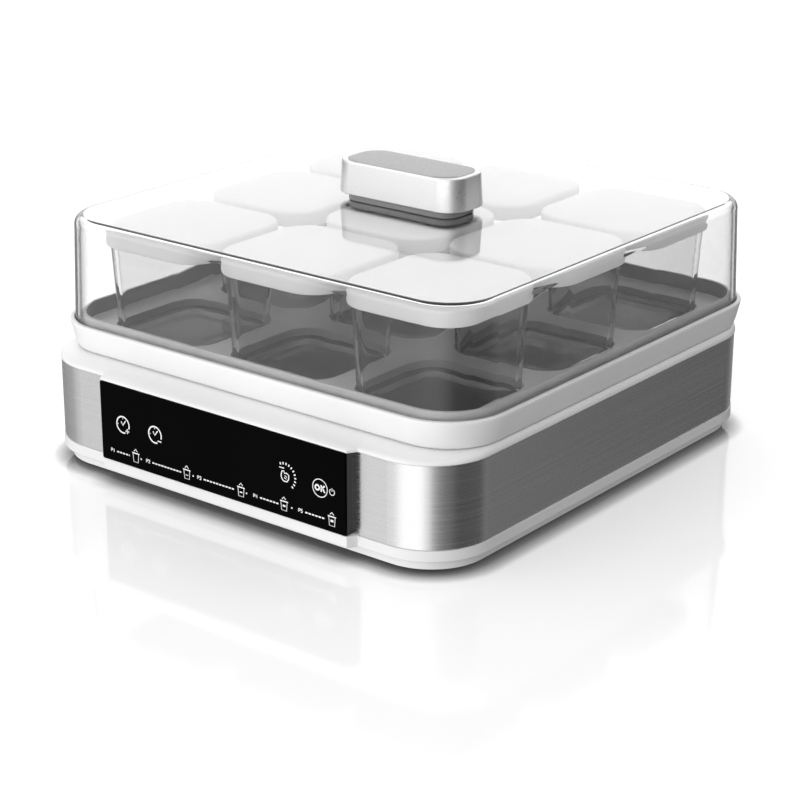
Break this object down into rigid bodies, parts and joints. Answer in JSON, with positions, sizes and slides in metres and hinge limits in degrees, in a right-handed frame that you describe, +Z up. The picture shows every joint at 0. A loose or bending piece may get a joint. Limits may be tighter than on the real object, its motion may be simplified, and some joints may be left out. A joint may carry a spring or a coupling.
{
  "type": "yogurt maker",
  "caption": "Square electric yogurt maker: steel-banded heated base with a touch panel, a tray of lidded glass jars, and a clear lift-off dome with a grip.",
  "frame": {"origin": "on the table, under the middle of the object's bounding box", "axes": "+Z up; the control panel faces -Y; +X to the right seen from the front"},
  "size_m": [0.277, 0.2944, 0.1527],
  "materials": {
    "white_plastic": "satin",
    "brushed_steel": "brushed along its length",
    "tray_satin": "satin",
    "plate_dark": "satin",
    "silicone_red": "matte",
    "foil": "satin",
    "ceramic_tan": "matte",
    "zinc_steel": "satin",
    "brass": "satin",
    "black_plastic": "satin",
    "black_glass": "gloss",
    "circuit_board": "satin",
    "display_dark": "gloss",
    "winding_yellow": "satin",
    "capacitor_blue": "satin",
    "terminal_green": "satin",
    "fuse_glass": "gloss",
    "cable_grey": "satin",
    "cable_brown": "satin",
    "black_rubber": "matte",
    "clear_plastic": "clear",
    "smoke_plastic": "clear smoke",
    "silver_satin": "satin",
    "grey_satin": "satin",
    "jar_glass": "clear",
    "lid_white": "satin"
  },
  "bodies": {
    "base": {"base_shell": "white_plastic", "steel_band": "brushed_steel", "top_frame": "white_plastic", "rim_ring": "white_plastic", "jar_tray": "tray_satin", "heating_plate": "plate_dark", "heater_cord": "silicone_red", "heater_foil": "foil", "heat_shield": "foil", "shield_spacers": "ceramic_tan", "plate_screws": "zinc_steel", "plate_nuts": "zinc_steel", "thermal_cutout": "ceramic_tan", "temperature_sensor": "brass", "panel_housing": "black_plastic", "panel_glass": "black_glass", "display_board": "circuit_board", "display_module": "display_dark", "touch_springs": "brass", "buzzer": "black_plastic", "power_board": "circuit_board", "relay": "black_plastic", "transformer": "winding_yellow", "supply_capacitor": "capacitor_blue", "terminal_block": "terminal_green", "fuse": "fuse_glass", "ribbon_cable": "cable_grey", "heater_leads": "silicone_red", "mains_leads": "cable_brown", "cord_gland": "black_rubber", "rubber_feet": "black_rubber", "base_screws": "zinc_steel", "board_screws": "zinc_steel", "panel_screws": "zinc_steel"},
    "cover": {"dome": "clear_plastic", "handle_riser": "smoke_plastic", "handle_cap": "silver_satin", "handle_inlay": "grey_satin", "handle_retainer": "smoke_plastic", "handle_screws": "zinc_steel"},
    "jar_1": {"jar_1": "jar_glass"},
    "jar_2": {"jar_2": "jar_glass"},
    "jar_3": {"jar_3": "jar_glass"},
    "jar_4": {"jar_4": "jar_glass"},
    "jar_5": {"jar_5": "jar_glass"},
    "jar_6": {"jar_6": "jar_glass"},
    "jar_7": {"jar_7": "jar_glass"},
    "jar_8": {"jar_8": "jar_glass"},
    "jar_9": {"jar_9": "jar_glass"},
    "jar_lid_1": {"jar_lid_1": "lid_white"},
    "jar_lid_2": {"jar_lid_2": "lid_white"},
    "jar_lid_3": {"jar_lid_3": "lid_white"},
    "jar_lid_4": {"jar_lid_4": "lid_white"},
    "jar_lid_5": {"jar_lid_5": "lid_white"},
    "jar_lid_6": {"jar_lid_6": "lid_white"},
    "jar_lid_7": {"jar_lid_7": "lid_white"},
    "jar_lid_8": {"jar_lid_8": "lid_white"},
    "jar_lid_9": {"jar_lid_9": "lid_white"}
  },
  "joints": [
    {"name": "cover_lift", "type": "slide", "parent": "base", "child": "cover", "axis": [0, 0, 1], "range_m": [0, 0.15]},
    {"name": "jar_1_lift", "type": "slide", "parent": "base", "child": "jar_1", "axis": [0, 0, 1], "range_m": [0, 0.0032]},
    {"name": "jar_2_lift", "type": "slide", "parent": "base", "child": "jar_2", "axis": [0, 0, 1], "range_m": [0, 0.0032]},
    {"name": "jar_3_lift", "type": "slide", "parent": "base", "child": "jar_3", "axis": [0, 0, 1], "range_m": [0, 0.0032]},
    {"name": "jar_4_lift", "type": "slide", "parent": "base", "child": "jar_4", "axis": [0, 0, 1], "range_m": [0, 0.0032]},
    {"name": "jar_5_lift", "type": "slide", "parent": "base", "child": "jar_5", "axis": [0, 0, 1], "range_m": [0, 0.0007]},
    {"name": "jar_6_lift", "type": "slide", "parent": "base", "child": "jar_6", "axis": [0, 0, 1], "range_m": [0, 0.0032]},
    {"name": "jar_7_lift", "type": "slide", "parent": "base", "child": "jar_7", "axis": [0, 0, 1], "range_m": [0, 0.0032]},
    {"name": "jar_8_lift", "type": "slide", "parent": "base", "child": "jar_8", "axis": [0, 0, 1], "range_m": [0, 0.0032]},
    {"name": "jar_9_lift", "type": "slide", "parent": "base", "child": "jar_9", "axis": [0, 0, 1], "range_m": [0, 0.0032]},
    {"name": "jar_lid_1_lift", "type": "slide", "parent": "jar_1", "child": "jar_lid_1", "axis": [0, 0, 1], "range_m": [0, 0.0032]},
    {"name": "jar_lid_2_lift", "type": "slide", "parent": "jar_2", "child": "jar_lid_2", "axis": [0, 0, 1], "range_m": [0, 0.0032]},
    {"name": "jar_lid_3_lift", "type": "slide", "parent": "jar_3", "child": "jar_lid_3", "axis": [0, 0, 1], "range_m": [0, 0.0032]},
    {"name": "jar_lid_4_lift", "type": "slide", "parent": "jar_4", "child": "jar_lid_4", "axis": [0, 0, 1], "range_m": [0, 0.0032]},
    {"name": "jar_lid_5_lift", "type": "slide", "parent": "jar_5", "child": "jar_lid_5", "axis": [0, 0, 1], "range_m": [0, 0.0007]},
    {"name": "jar_lid_6_lift", "type": "slide", "parent": "jar_6", "child": "jar_lid_6", "axis": [0, 0, 1], "range_m": [0, 0.0032]},
    {"name": "jar_lid_7_lift", "type": "slide", "parent": "jar_7", "child": "jar_lid_7", "axis": [0, 0, 1], "range_m": [0, 0.0032]},
    {"name": "jar_lid_8_lift", "type": "slide", "parent": "jar_8", "child": "jar_lid_8", "axis": [0, 0, 1], "range_m": [0, 0.0032]},
    {"name": "jar_lid_9_lift", "type": "slide", "parent": "jar_9", "child": "jar_lid_9", "axis": [0, 0, 1], "range_m": [0, 0.0032]}
  ]
}
